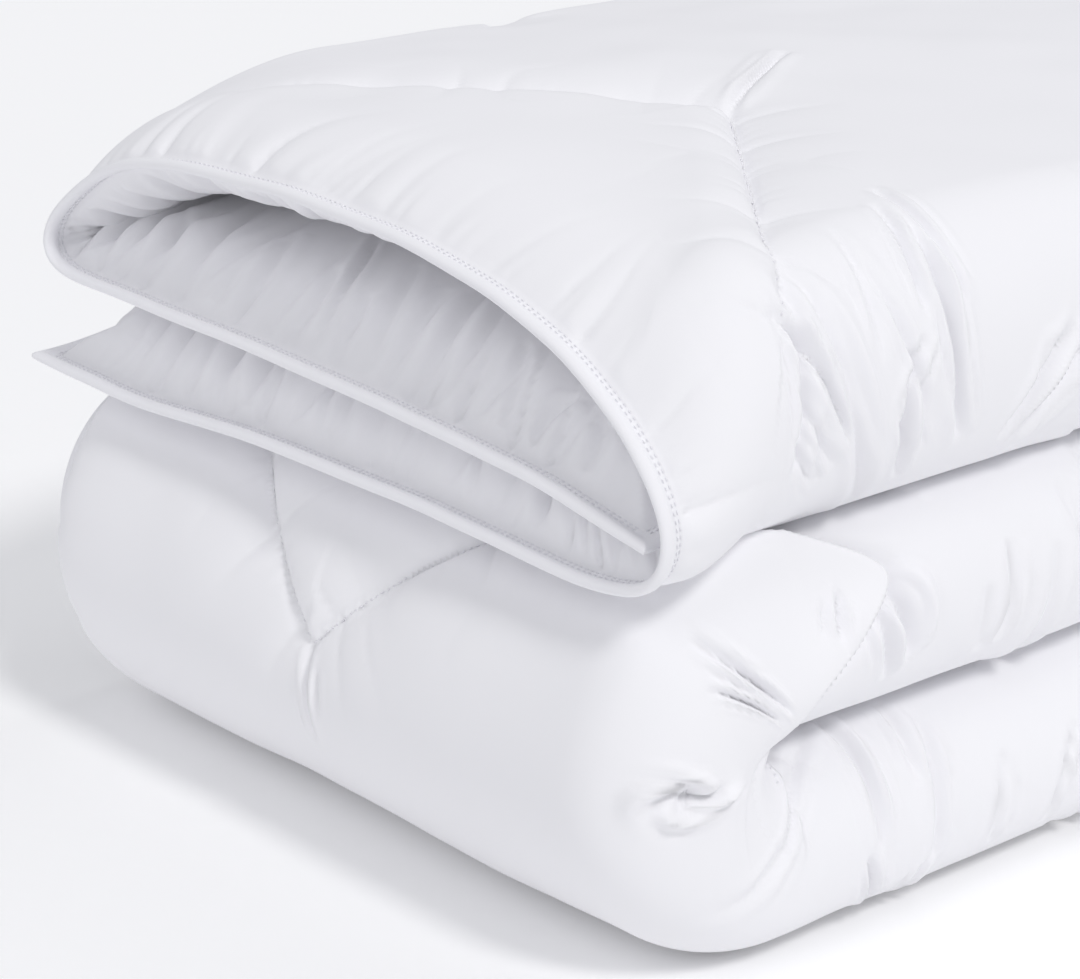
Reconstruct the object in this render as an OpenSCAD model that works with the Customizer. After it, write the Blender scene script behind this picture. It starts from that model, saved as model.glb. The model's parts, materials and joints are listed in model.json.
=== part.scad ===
// Folded duvet: a quilted, hemmed duvet folded in thirds across its width and then in
// thirds along its length.
//
// Frame: X across the folded stack, Y along it, Z up. The origin is at the middle of the
// footprint on the floor. The closed lengthwise fold is at +X, the open hem at -X. The upper
// third opens at -Y, where the closed fold between the lower and middle thirds also lies.
//
// Across the width the duvet lies in three layers: layer 1 at the bottom of a third, layer 3
// on top, and layer 2 tucked in between. The near fold joins layers 1 and 3 at +X, and the
// far fold joins layers 3 and 2 at -X.

/* [Flat duvet] */
// Width of the duvet laid flat, hem to hem
duvet_w = 1630; // [1300:10:2600]
// Length of the duvet laid flat, hem to hem
duvet_l = 2240; // [1800:10:2600]

/* [Layers] */
// Thickness of one layer pressed in the fold, both sheets and the filling
loft = 38; // [24:1:60]
// How many times thicker the layers stand in the upper third, which nothing presses
upper_loft = 1.45; // [1:0.05:1.8]
// Thickness of one fabric sheet with its bonded face of filling
sheet_t = 1.2; // [0.6:0.1:2]
// Gap between two layers that lie on each other
layer_gap = 0.8; // [0.4:0.1:2]
// Gap between two thirds that lie on each other
third_gap = 1.0; // [0.6:0.1:3]
// How far the lower third's end stops short of the back fold's hinge line
tail_gap = 6; // [2:1:60]
// Clearance between the filling and the sheets around it
fill_clear = 0.3; // [0.1:0.1:1]

/* [Hems] */
// Width of the flat stitched band along every edge
hem_w = 13; // [8:1:18]
// Thickness of that band
hem_t = 6; // [3:1:9]
// Thickness of the turned-in edge wall that closes the layer behind the band
hem_wall = 1.2; // [0.6:0.1:2]

/* [Quilting] */
// Width of a stitched line through the layer
stitch_w = 1.6; // [1:0.1:3]
// Sideways reach of each arm of a quilted chevron
arm = 130; // [60:5:170]
// Distance of the chevron's point from the middle of the stack, towards the near fold
point_x = 30; // [-60:5:60]
// Distance of the upper chevron's point behind the open hem
point_from_hem = 260; // [150:5:400]
// Sideways reach of each chevron arm on the front and back folds
fold_arm = 70; // [40:5:90]
// Clearance around the stitched lines
stitch_clear = 0.2; // [0.1:0.1:0.5]

/* [Colours] */
// Colour of the fabric sheets
sheet_colour = "#f4f3f8";
// Colour of the hems
hem_colour = "#e9e8f0";
// Colour of the filling
fill_colour = "#fbfaf6";
// Colour of the quilting thread
thread_colour = "#dcdbe6";

/* [Hidden] */
$fn = 96;
pitch = loft + layer_gap;
third_h = 3 * loft + 2 * layer_gap;

// Lengthwise folds of one third, seen along Y
near_out = 1.5 * loft + layer_gap;
far_out = loft + layer_gap / 2;
across_folds = 3 * near_out + 2 * far_out - 1.5 * PI * pitch - hem_w;
stack_w = (duvet_w + across_folds) / 3;
near_x = stack_w / 2 - near_out;
far_x = far_out - stack_w / 2;
side_x = hem_w - stack_w / 2;

// Crosswise folds between the thirds, seen along X
fold_r = third_h + third_gap / 2;
fold_mid = (third_h + third_gap) / 2;
stack_l = (duvet_l + 5 * fold_r + tail_gap - 2 * PI * fold_mid) / 3;
front_y = fold_r - stack_l / 2;
back_y = stack_l / 2 - fold_r;
lower_z = fold_r;
upper_z = 2 * fold_r + third_gap / 2;
tail_y = back_y - tail_gap - hem_w;
mouth_y = hem_w - stack_l / 2;
upper_point_y = point_from_hem - stack_l / 2;
across_gap = third_gap / 2;

// ---- Cross-section of one third, X across and Y up -------------------------------------

// A strip that runs in from -X and ends in a half circle round the origin
module tongue(radius, length) {
    circle(radius);
    translate([-length, -radius]) square([length, 2 * radius]);
}

// A fold seen end on: two layers of that length joined by a half ring on the +X side
module fold_over(inner, outer, length) {
    difference() {
        tongue(outer, length);
        tongue(inner, length + 1);
    }
}

// The part of the three layers from `lo` to `hi`, measured in from the outer face
module ply(lo, hi) {
    difference() {
        translate([near_x, pitch + loft / 2])
            fold_over(near_out - hi, near_out - lo, near_x - side_x);
        translate([side_x - 1, pitch + loft / 2]) square([1 - side_x, near_out + 1]);
    }
    translate([far_x, third_h - far_out]) mirror([1, 0])
        fold_over(far_out - hi, far_out - lo, near_x - far_x);
}

module outer_sheet_section() ply(0, sheet_t);
module inner_sheet_section() ply(loft - sheet_t, loft);
module filling_section() ply(sheet_t + fill_clear, loft - sheet_t - fill_clear);
module hem_band_section() ply((loft - hem_t) / 2, (loft + hem_t) / 2);
module whole_section() ply(0, loft);

// Hem on an edge at the origin that runs on towards -X: the edge wall and its rounded band
module edge_hem_section() {
    translate([-hem_wall, 0]) square([hem_wall, loft]);
    translate([-hem_w + hem_t / 2, (loft - hem_t) / 2]) square([hem_w - hem_t / 2, hem_t]);
    translate([-hem_w + hem_t / 2, loft / 2]) circle(hem_t / 2);
}

module side_hem_section() translate([side_x, 0]) edge_hem_section();
module tucked_hem_section() translate([near_x, pitch]) mirror([1, 0]) edge_hem_section();

// ---- Quilted chevron, point towards +Y ---------------------------------------------------

module chevron(width, reach) {
    half = width / sqrt(2);
    polygon([
        [-reach, -reach - half], [0, -half], [reach, -reach - half],
        [reach, -reach + half], [0, half], [-reach, -reach + half],
    ]);
}

// ---- Runs and turns: how a section becomes a length of duvet -----------------------------

// A straight run of a section from one Y to another
module run(from_y, to_y) {
    translate([0, to_y, 0]) rotate([90, 0, 0]) linear_extrude(to_y - from_y) children();
}

// A turn of a section about the X axis, on the +Y side, with layer 1 outermost
module turn_out(degrees) {
    rotate([0, 90, 0]) rotate_extrude(angle = degrees) translate([fold_r, 0]) rotate(90) children();
}

// The same turn with layer 3 outermost
module turn_in(degrees) {
    rotate([0, 90, 0]) rotate_extrude(angle = degrees)
        translate([across_gap, 0]) mirror([1, 0]) rotate(90) children();
}

// Where each third lies: the lower as drawn, the middle upside down, the upper stood taller
module in_middle() {
    translate([0, 0, upper_z - across_gap]) mirror([0, 0, 1]) children();
}
module in_upper() {
    translate([0, 0, upper_z]) scale([1, 1, upper_loft]) translate([0, 0, across_gap]) children();
}

module lower_run() run(front_y, tail_y) children();
module middle_run() {
    in_middle() run(front_y + across_gap, back_y - across_gap) children();
}
module upper_run() in_upper() run(mouth_y, back_y - across_gap) children();

module front_turn() {
    translate([0, front_y, lower_z]) mirror([0, 1, 0]) turn_out(180) children();
}

// The back fold: a plain quarter turn under the axis and a taller one above it
module back_turn() {
    translate([0, back_y, upper_z]) {
        turn_in(90) children();
        scale([1, 1, upper_loft]) mirror([0, 0, 1]) turn_in(90) children();
    }
}

// ---- Lines of stitching through one layer ------------------------------------------------

top_layer_z = third_h - loft;
slot_w = stitch_w + 2 * stitch_clear;
front_point_z = -fold_arm / 5;
back_point_z = -fold_arm - hem_w;

// In a third, through the layer that starts at height `z`, with the point at `y`
module third_stitches(y, z, width) {
    translate([point_x, y, z]) linear_extrude(loft) chevron(width, arm);
}

module lower_stitches(width) third_stitches(0, top_layer_z, width);
module middle_stitches(width) in_middle() third_stitches(0, 0, width);
module upper_stitches(width) in_upper() third_stitches(upper_point_y, top_layer_z, width);

// Through the outermost layer of a fold round the X axis, on its +Y side, point downwards.
// `reach` is how far past the layer's faces the cut goes.
module fold_stitches(point_z, width, reach = 0) {
    intersection() {
        rotate([0, 90, 0]) rotate_extrude(angle = 180)
            translate([fold_r - loft - reach, far_x]) square([loft + 2 * reach, near_x - far_x]);
        translate([point_x, 2 * fold_r, point_z]) rotate([90, 0, 0])
            linear_extrude(2 * fold_r) mirror([0, 1]) chevron(width, fold_arm);
    }
}

module front_stitches(width, reach = 0) {
    translate([0, front_y, lower_z]) mirror([0, 1, 0]) fold_stitches(front_point_z, width, reach);
}
module back_stitches(width, reach = 0) {
    translate([0, back_y, upper_z]) fold_stitches(back_point_z, width, reach);
}

slot_reach = layer_gap / 2;

// ---- Pieces of the lower third -------------------------------------------------------------

module lower_outer_sheet() color(sheet_colour) difference() {
    lower_run() outer_sheet_section();
    lower_stitches(slot_w);
}
module lower_inner_sheet() color(sheet_colour) difference() {
    lower_run() inner_sheet_section();
    lower_stitches(slot_w);
}
module lower_filling() color(fill_colour) difference() {
    lower_run() filling_section();
    lower_stitches(slot_w);
}
module lower_side_hem() color(hem_colour) lower_run() side_hem_section();
module lower_tucked_hem() color(hem_colour) lower_run() tucked_hem_section();
module lower_end_hem() color(hem_colour) {
    run(tail_y, tail_y + hem_wall) whole_section();
    run(tail_y + hem_wall, tail_y + hem_w) hem_band_section();
}
module lower_quilting() color(thread_colour) lower_stitches(stitch_w);

// ---- Pieces of the front fold, between the lower and middle thirds -----------------------

module front_fold_outer_sheet() color(sheet_colour) difference() {
    front_turn() outer_sheet_section();
    front_stitches(slot_w, slot_reach);
}
module front_fold_inner_sheet() color(sheet_colour) difference() {
    front_turn() inner_sheet_section();
    front_stitches(slot_w, slot_reach);
}
module front_fold_filling() color(fill_colour) difference() {
    front_turn() filling_section();
    front_stitches(slot_w, slot_reach);
}
module front_fold_side_hem() color(hem_colour) front_turn() side_hem_section();
module front_fold_tucked_hem() color(hem_colour) front_turn() tucked_hem_section();
module front_fold_quilting() color(thread_colour) front_stitches(stitch_w);

// ---- Pieces of the middle third ------------------------------------------------------------

module middle_outer_sheet() color(sheet_colour) difference() {
    middle_run() outer_sheet_section();
    middle_stitches(slot_w);
}
module middle_inner_sheet() color(sheet_colour) difference() {
    middle_run() inner_sheet_section();
    middle_stitches(slot_w);
}
module middle_filling() color(fill_colour) difference() {
    middle_run() filling_section();
    middle_stitches(slot_w);
}
module middle_side_hem() color(hem_colour) middle_run() side_hem_section();
module middle_tucked_hem() color(hem_colour) middle_run() tucked_hem_section();
module middle_quilting() color(thread_colour) middle_stitches(stitch_w);

// ---- Pieces of the back fold, between the middle and upper thirds ------------------------

module back_fold_outer_sheet() color(sheet_colour) difference() {
    back_turn() outer_sheet_section();
    back_stitches(slot_w, slot_reach);
}
module back_fold_inner_sheet() color(sheet_colour) difference() {
    back_turn() inner_sheet_section();
    back_stitches(slot_w, slot_reach);
}
module back_fold_filling() color(fill_colour) difference() {
    back_turn() filling_section();
    back_stitches(slot_w, slot_reach);
}
module back_fold_side_hem() color(hem_colour) back_turn() side_hem_section();
module back_fold_tucked_hem() color(hem_colour) back_turn() tucked_hem_section();
module back_fold_quilting() color(thread_colour) back_stitches(stitch_w);

// ---- Pieces of the upper third -------------------------------------------------------------

module upper_outer_sheet() color(sheet_colour) difference() {
    upper_run() outer_sheet_section();
    upper_stitches(slot_w);
}
module upper_inner_sheet() color(sheet_colour) difference() {
    upper_run() inner_sheet_section();
    upper_stitches(slot_w);
}
module upper_filling() color(fill_colour) difference() {
    upper_run() filling_section();
    upper_stitches(slot_w);
}
module upper_side_hem() color(hem_colour) upper_run() side_hem_section();
module upper_tucked_hem() color(hem_colour) upper_run() tucked_hem_section();
module upper_end_hem() color(hem_colour) in_upper() {
    run(mouth_y - hem_wall, mouth_y) whole_section();
    run(mouth_y - hem_w, mouth_y - hem_wall) hem_band_section();
}
module upper_quilting() color(thread_colour) upper_stitches(stitch_w);

// ---- What is drawn ------------------------------------------------------------------------

lower_outer_sheet();
lower_inner_sheet();
lower_filling();
lower_side_hem();
lower_tucked_hem();
lower_end_hem();
lower_quilting();
front_fold_outer_sheet();
front_fold_inner_sheet();
front_fold_filling();
front_fold_side_hem();
front_fold_tucked_hem();
front_fold_quilting();
middle_outer_sheet();
middle_inner_sheet();
middle_filling();
middle_side_hem();
middle_tucked_hem();
middle_quilting();
back_fold_outer_sheet();
back_fold_inner_sheet();
back_fold_filling();
back_fold_side_hem();
back_fold_tucked_hem();
back_fold_quilting();
upper_outer_sheet();
upper_inner_sheet();
upper_filling();
upper_side_hem();
upper_tucked_hem();
upper_end_hem();
upper_quilting();
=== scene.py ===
"""A white quilted duvet, folded in thirds across its width and then in thirds along its length.

The cloth is worked out as one flat duvet. A point of it has a place `u` across the width, from
the side hem to the tucked hem, and a place `s` along the length, from the mouth of the upper
third to the tail of the lower third. The folding carries both to the stack.
"""

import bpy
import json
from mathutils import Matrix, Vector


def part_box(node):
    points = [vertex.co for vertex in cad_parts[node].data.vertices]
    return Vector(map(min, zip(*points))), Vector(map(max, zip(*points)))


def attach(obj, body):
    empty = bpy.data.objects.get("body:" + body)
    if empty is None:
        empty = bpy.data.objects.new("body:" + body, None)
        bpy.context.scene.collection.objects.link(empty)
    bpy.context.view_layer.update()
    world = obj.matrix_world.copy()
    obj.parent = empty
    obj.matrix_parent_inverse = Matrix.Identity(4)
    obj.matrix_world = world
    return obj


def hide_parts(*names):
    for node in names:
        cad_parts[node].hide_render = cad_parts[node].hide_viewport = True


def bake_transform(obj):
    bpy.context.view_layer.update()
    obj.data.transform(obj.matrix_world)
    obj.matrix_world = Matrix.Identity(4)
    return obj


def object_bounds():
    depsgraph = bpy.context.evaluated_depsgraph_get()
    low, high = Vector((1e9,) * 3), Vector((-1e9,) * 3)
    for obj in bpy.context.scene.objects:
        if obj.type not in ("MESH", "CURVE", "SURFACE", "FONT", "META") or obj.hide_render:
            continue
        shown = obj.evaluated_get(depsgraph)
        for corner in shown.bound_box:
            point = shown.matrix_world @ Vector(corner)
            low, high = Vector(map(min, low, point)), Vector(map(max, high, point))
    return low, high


bl_info = {
    "name": "Folded Duvet",
    "version": (1, 0, 0),
    "blender": (4, 5, 0),
    "location": "View3D > Sidebar > Duvet",
    "description": "A quilted duvet folded in thirds both ways, made around its packed frame",
    "category": "Add Mesh",
}

import json
import math

import bpy
import numpy as np
from bpy.props import FloatProperty, FloatVectorProperty, PointerProperty
from mathutils import Vector

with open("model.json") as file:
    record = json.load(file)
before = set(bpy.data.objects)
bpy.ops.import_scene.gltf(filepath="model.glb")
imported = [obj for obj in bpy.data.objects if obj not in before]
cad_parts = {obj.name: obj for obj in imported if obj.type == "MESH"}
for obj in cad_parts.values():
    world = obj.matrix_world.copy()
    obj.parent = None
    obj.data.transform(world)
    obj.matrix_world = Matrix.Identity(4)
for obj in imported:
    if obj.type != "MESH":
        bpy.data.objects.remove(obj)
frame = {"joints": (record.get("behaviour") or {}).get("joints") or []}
CAD_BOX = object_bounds()


# ---- Sizes read from the frame --------------------------------------------------------------

def hinge(name):
    """Where the named joint's axis lies, as (y, z)."""
    joint = next(j for j in frame["joints"] if j["name"] == name)
    return joint["pos_m"][1], joint["pos_m"][2]


FRONT_Y, LOWER_Z = hinge("middle_turn")
BACK_Y, UPPER_Z = hinge("upper_turn")
SIDE_LOW, SIDE_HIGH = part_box("lower_side_hem")
TUCKED_LOW, TUCKED_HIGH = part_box("lower_tucked_hem")
SHEET_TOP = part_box("lower_outer_sheet")[1].z
TAIL_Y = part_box("lower_end_hem")[1].y
MOUTH_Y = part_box("upper_end_hem")[0].y
STACK_TOP = CAD_BOX[1].z

HALF_W = -SIDE_LOW.x
HEM_W = SIDE_HIGH.x - SIDE_LOW.x
LOFT = SIDE_HIGH.z - SIDE_LOW.z
PITCH = TUCKED_LOW.z
NEAR_X = TUCKED_LOW.x
FAR_X = LOFT + (PITCH - LOFT) / 2 - HALF_W
ACROSS_GAP = LOWER_Z - SHEET_TOP
UPPER_LOFT = (STACK_TOP - UPPER_Z) / LOWER_Z

# Lengths across the cloth, layer by layer and fold by fold
ACROSS = (NEAR_X + HALF_W, math.pi * PITCH, NEAR_X - FAR_X, math.pi * PITCH / 2,
          NEAR_X + HEM_W - FAR_X)
U_ENDS = [0.0, *np.cumsum(ACROSS)]
WIDTH = U_ENDS[-1]

# Lengths along the cloth: upper third, back fold, middle third, front fold, lower third
TURN = math.pi * (LOWER_Z + ACROSS_GAP) / 2
ALONG = (BACK_Y - MOUTH_Y, TURN, BACK_Y - FRONT_Y, TURN, TAIL_Y - FRONT_Y)
S_ENDS = [0.0, *np.cumsum(ALONG)]
LENGTH = S_ENDS[-1]

SECTIONS = ("upper", "back_fold", "middle", "front_fold", "lower")
BODY = {"upper": "upper_third", "middle": "middle_third", "lower": "lower_third"}


# ---- Properties -----------------------------------------------------------------------------

class DuvetSizes(bpy.types.PropertyGroup):
    """Sizes of the cloth's own detail, in metres"""

    step_across: FloatProperty(
        name="Mesh step across", description="Spacing of the cloth's mesh lines across its width",
        default=0.0026, min=0.001, unit="LENGTH")
    step_along: FloatProperty(
        name="Mesh step along", description="Spacing of the cloth's mesh lines along its length",
        default=0.0046, min=0.001, unit="LENGTH")
    hem_roll: FloatProperty(
        name="Hem roll", description="Half thickness of the rounded roll along every hem",
        default=0.0032, unit="LENGTH")
    hem_flat: FloatProperty(
        name="Hem flat", description="Half thickness of the flat of the hem",
        default=0.0012, unit="LENGTH")
    puff_run: FloatProperty(
        name="Puff run", description="Distance in which the filling swells behind a hem",
        default=0.062, unit="LENGTH")
    quilt_run: FloatProperty(
        name="Quilt run", description="Distance in which the filling swells beside a seam",
        default=0.05, unit="LENGTH")
    quilt_depth: FloatProperty(
        name="Quilt depth", description="Share of the thickness that a seam takes up",
        default=0.62, min=0, max=0.9)
    quilt_reach: FloatProperty(
        name="Quilt reach", description="Sideways reach of each arm of a quilted chevron",
        default=0.21, unit="LENGTH")
    stitch: FloatProperty(
        name="Stitch", description="Spacing of the stitches",
        default=0.004, unit="LENGTH")


class DuvetColours(bpy.types.PropertyGroup):
    """Colours of the finishes"""

    sheet: FloatVectorProperty(
        name="Sheet", description="Colour of the cover's cloth",
        default=(0.935, 0.93, 0.962), size=3, subtype="COLOR")
    # A second tone of the cloth, which every finish mixes in at random by noise; it doesn't follow
    # the folds or the hollows.
    second_tone: FloatVectorProperty(
        name="Second tone", description="Second colour of the cloth, mixed in at random",
        default=(0.90, 0.895, 0.937), size=3, subtype="COLOR")
    filling: FloatVectorProperty(
        name="Filling", description="Colour of the wadding",
        default=(0.88, 0.87, 0.84), size=3, subtype="COLOR")
    thread: FloatVectorProperty(
        name="Thread", description="Colour of the sewing thread",
        default=(0.74, 0.73, 0.80), size=3, subtype="COLOR")
    floor: FloatVectorProperty(
        name="Floor", description="Colour of the floor",
        default=(0.975, 0.975, 0.98), size=3, subtype="COLOR")


# ---- Folding: from the flat duvet to the stack ----------------------------------------------

def smooth(t):
    """0 below 0 and 1 above 1, easing in between."""
    t = np.clip(t, 0, 1)
    return t * t * (3 - 2 * t)


def across(u):
    """Middle of the cloth at `u` in a third's own cross-section: x, and height above its floor."""
    turn_near = np.clip((u - U_ENDS[1]) / PITCH, 0, math.pi)
    turn_far = np.clip((u - U_ENDS[3]) / (PITCH / 2), 0, math.pi)
    centre_near = PITCH + LOFT / 2
    centre_far = 2 * PITCH + LOFT / 2 - PITCH / 2
    x = np.select(
        [u < U_ENDS[1], u < U_ENDS[2], u < U_ENDS[3], u < U_ENDS[4]],
        [u - HALF_W, NEAR_X + PITCH * np.sin(turn_near), NEAR_X - (u - U_ENDS[2]),
         FAR_X - PITCH / 2 * np.sin(turn_far)],
        FAR_X + (u - U_ENDS[4]))
    h = np.select(
        [u < U_ENDS[1], u < U_ENDS[2], u < U_ENDS[3], u < U_ENDS[4]],
        [LOFT / 2 + 0 * u, centre_near - PITCH * np.cos(turn_near),
         2 * PITCH + LOFT / 2 + 0 * u, centre_far + PITCH / 2 * np.cos(turn_far)],
        PITCH + LOFT / 2 + 0 * u)
    return x, h


def along(x, h, s):
    """Carries a point of the cross-section to the stack, at `s` along the cloth."""
    turn_back = np.clip((s - S_ENDS[1]) / TURN, 0, 1) * math.pi
    turn_front = np.clip((s - S_ENDS[3]) / TURN, 0, 1) * math.pi
    inner = ACROSS_GAP + h
    outer = LOWER_Z - h
    tall = np.where(np.cos(turn_back) > 0, UPPER_LOFT, 1.0)
    where = [s < S_ENDS[1], s < S_ENDS[2], s < S_ENDS[3], s < S_ENDS[4]]
    y = np.select(
        where,
        [MOUTH_Y + s, BACK_Y + inner * np.sin(turn_back), BACK_Y - (s - S_ENDS[2]),
         FRONT_Y - outer * np.sin(turn_front)],
        FRONT_Y + (s - S_ENDS[4]))
    z = np.select(
        where,
        [UPPER_Z + UPPER_LOFT * inner, UPPER_Z + inner * np.cos(turn_back) * tall,
         UPPER_Z - inner, LOWER_Z + outer * np.cos(turn_front)],
        h + 0 * s)
    return x + 0 * s, y, z


# The mouth: the line that the upper third's open hem takes, from the free corner under the far
# side, round the near fold, over the crown, round the far fold and back under it to the tucked
# corner. Each point is (x, height) in metres, and the hem runs along them at its own length. The
# points came out of a separate mapping program, and were then thinned and adjusted.
MOUTH = (
    (-0.274, 0.226), (-0.19, 0.221), (-0.06, 0.228), (0.09, 0.228), (0.22, 0.220),
    (0.262, 0.226), (0.280, 0.246), (0.276, 0.271), (0.249, 0.304), (0.204, 0.335),
    (0.15, 0.353), (0.08, 0.366), (-0.02, 0.372), (-0.12, 0.368), (-0.17, 0.361),
    (-0.205, 0.346), (-0.24, 0.322), (-0.257, 0.304), (-0.256, 0.289), (-0.23, 0.284),
    (-0.09, 0.281), (0.06, 0.275), (0.18, 0.264), (0.264, 0.250),
)
MOUTH_SET_BACK = 0.015

# How far behind the hem the cloth still follows that line: at the side hem, before and at each
# lengthwise fold, and at the tucked hem
MOUTH_PLACES = (0, U_ENDS[1] - 0.1, U_ENDS[1], U_ENDS[2], U_ENDS[2] + 0.1, U_ENDS[4], WIDTH)
MOUTH_RUNS = (0.16, 0.12, 0.09, 0.12, 0.22, 0.22, 0.18)

# Points on the eased line, and how many of them each one is averaged over
MOUTH_SAMPLES = 1201
MOUTH_EASE = 51


def mouth_line(u):
    """x and height of the mouth's hem at `u`."""
    points = np.array(MOUTH)
    run = np.concatenate([[0], np.cumsum(np.linalg.norm(np.diff(points, axis=0), axis=1))])
    fine = np.linspace(0, run[-1], MOUTH_SAMPLES)
    kernel = np.hanning(MOUTH_EASE)
    kernel /= kernel.sum()
    half = MOUTH_EASE // 2

    def eased(values):
        line = np.interp(fine, run, values)
        before = 2 * line[0] - line[half:0:-1]
        after = 2 * line[-1] - line[-2:-half - 2:-1]
        return np.convolve(np.concatenate([before, line, after]), kernel, "valid")

    place = u / WIDTH * run[-1]
    return np.interp(place, fine, eased(points[:, 0])), np.interp(place, fine, eased(points[:, 1]))


# The upper third is tallest along its crown, and slumps towards both sides
CROWN_X = -0.05
NEAR_SLUMP = 0.20
FAR_SLUMP = 0.10


def upper_slump(x):
    """How tall the upper third stands at a place, as a share of its full height."""
    near = np.clip((x - CROWN_X) / (HALF_W - CROWN_X), 0, None)
    far = np.clip((CROWN_X - x) / (HALF_W + CROWN_X), 0, None)
    return (1 - NEAR_SLUMP * near ** 2) * (1 - FAR_SLUMP * far ** 2)


# A side hem rests this far above what is under it, and the cloth settles to it over this width
HEM_REST = 0.004
SAG_RUN = 0.06


def hem_sag(u, s):
    """How far the cloth's middle settles at its side hems: down, or in on the front fold."""
    turn_back = np.clip((s - S_ENDS[1]) / TURN, 0, 1) * math.pi
    turn_front = np.clip((s - S_ENDS[3]) / TURN, 0, 1) * math.pi
    down = -np.cos(turn_back) * np.cos(turn_front) + np.sin(turn_front)
    beside = 1 - smooth(np.minimum(u, WIDTH - u) / SAG_RUN)
    return (LOFT / 2 - HEM_REST) * beside * np.clip(down, -1, 1)


def fold_up(u, s):
    """The middle of the cloth at (u, s), as points of the stack."""
    x, h = across(u)
    h = h + hem_sag(u, s)
    x, y, z = along(x, h, s)
    in_upper = (s < S_ENDS[1] + TURN / 2) & (z > UPPER_Z)
    z = np.where(in_upper, UPPER_Z + (z - UPPER_Z) * upper_slump(x), z)
    hem_x, hem_z = mouth_line(u)
    hold = 1 - smooth(s / np.interp(u, MOUTH_PLACES, MOUTH_RUNS))
    x = x * (1 - hold) + hem_x * hold
    y = y + MOUTH_SET_BACK * hold
    z = z * (1 - hold) + hem_z * hold
    return np.stack([x, y, z], -1)


# ---- Quilting and thickness -------------------------------------------------------------------

# The quilted chevrons: where their points lie across the duvet, where the first of the middle
# column lies along it, how far apart they follow, how steeply the arms climb towards the mouth,
# and how far the points stay from the mouth and from the tail
QUILT_U = (0.290, 0.803, 1.316)
QUILT_S = 0.280
QUILT_PERIOD = 0.512
QUILT_SLOPE = 0.85
QUILT_CLEAR = (0.15, 0.02)

# A seam draws in less towards the ends of its arms: by this share, over the last part of an arm
ARM_EASE = 0.5
ARM_LAST = 0.4

# The filling swells sooner inside a chevron than outside it, in shares of the quilt run
INSIDE_RUN = 0.6
OUTSIDE_RUN = 1.3

# How full the puff behind a hem is, from 1 for round to 0 for a step, and how wide the hem's roll
PUFF_ROUND = 0.85
ROLL_WIDTH = 0.0085


def chevron_points():
    """Where each quilted chevron has its point: (u, s), over the whole duvet."""
    points = []
    for column, u in enumerate(QUILT_U):
        start = QUILT_S if column == 1 else QUILT_S + QUILT_PERIOD / 2
        for row in range(-1, 5):
            s = start + row * QUILT_PERIOD
            if QUILT_CLEAR[0] < s < LENGTH - QUILT_CLEAR[1]:
                points.append((u, s))
    return points


def seam_stretch(u, s):
    """How much longer a step along the cloth is on the outside of the front fold."""
    x, h = across(u)
    turning = (s > S_ENDS[3]) & (s < S_ENDS[4])
    return np.where(turning, np.clip((LOWER_Z - h) * math.pi / TURN, 0.3, 2), 1.0)


def seam_distance(u, s, reach):
    """Distance from the nearest quilted seam, the place along it, and whether it is inside."""
    nearest = np.full(u.shape, np.inf)
    place = np.zeros(u.shape)
    within = np.zeros(u.shape, bool)
    stretch = seam_stretch(u, s)
    for point_u, point_s in chevron_points():
        du = u - point_u
        ds = (point_s - s) * stretch
        for side in (-1, 1):
            run = np.clip((side * du + QUILT_SLOPE * ds) / (1 + QUILT_SLOPE ** 2), 0, reach)
            gap = np.hypot(du - side * run, ds - QUILT_SLOPE * run)
            closer = gap < nearest
            nearest = np.where(closer, gap, nearest)
            place = np.where(closer, run * side, place)
            within = np.where(closer, ds > QUILT_SLOPE * np.abs(du), within)
    return nearest, place, within


def seam_place(u, point_s, drop):
    """The place along the cloth at a drop towards the mouth from a chevron's point."""
    stretch = seam_stretch(np.array([u]), np.array([point_s]))[0]
    return point_s - drop / stretch


def hem_distance(u, s):
    """Distance from the nearest edge of the duvet."""
    return np.minimum(np.minimum(u, WIDTH - u), np.minimum(s, LENGTH - s))


def half_thickness(u, s, normal_z, sizes):
    """Half the thickness of the stuffed cloth: the roll and flat of a hem, then the puff."""
    d = hem_distance(u, s)
    around = np.clip(1 - d / (ROLL_WIDTH / 2), -1, 1)
    roll = sizes.hem_roll * np.sqrt(1 - around ** 2)
    roll = np.where(d > ROLL_WIDTH / 2, np.maximum(roll, sizes.hem_flat), roll)
    full = LOFT / 2 * np.where(s < S_ENDS[1] + TURN / 2, 1 + (UPPER_LOFT - 1) * normal_z ** 2, 1.0)
    swell = np.clip((d - HEM_W) / sizes.puff_run, 0, 1)
    puff = (1 - (1 - swell) ** 2) ** PUFF_ROUND
    seam, place, within = seam_distance(u, s, sizes.quilt_reach)
    along_arm = np.abs(place) / sizes.quilt_reach
    held = 1 - ARM_EASE * smooth((along_arm - (1 - ARM_LAST)) / ARM_LAST)
    beside = np.clip(seam / (sizes.quilt_run * np.where(within, INSIDE_RUN, OUTSIDE_RUN)), 0, 1)
    quilt = 1 - sizes.quilt_depth * held * (1 - np.sqrt(1 - (1 - beside) ** 2))
    return np.where(d < HEM_W, roll, sizes.hem_flat + (full * quilt - sizes.hem_flat) * puff)


# ---- Wrinkles: how far the sheets stand in or out, in metres --------------------------------------

def drift(x, y, seed):
    """Smooth seeded noise between -1 and 1, about one swell to every unit."""
    table = np.random.default_rng(seed).uniform(-1, 1, (64, 64))
    i, j = np.floor(x).astype(int), np.floor(y).astype(int)
    fx, fy = smooth(x - i), smooth(y - j)

    def corner(a, b):
        return table[(i + a) % 64, (j + b) % 64]

    low = corner(0, 0) * (1 - fx) + corner(1, 0) * fx
    high = corner(0, 1) * (1 - fx) + corner(1, 1) * fx
    return low * (1 - fy) + high * fy


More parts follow.
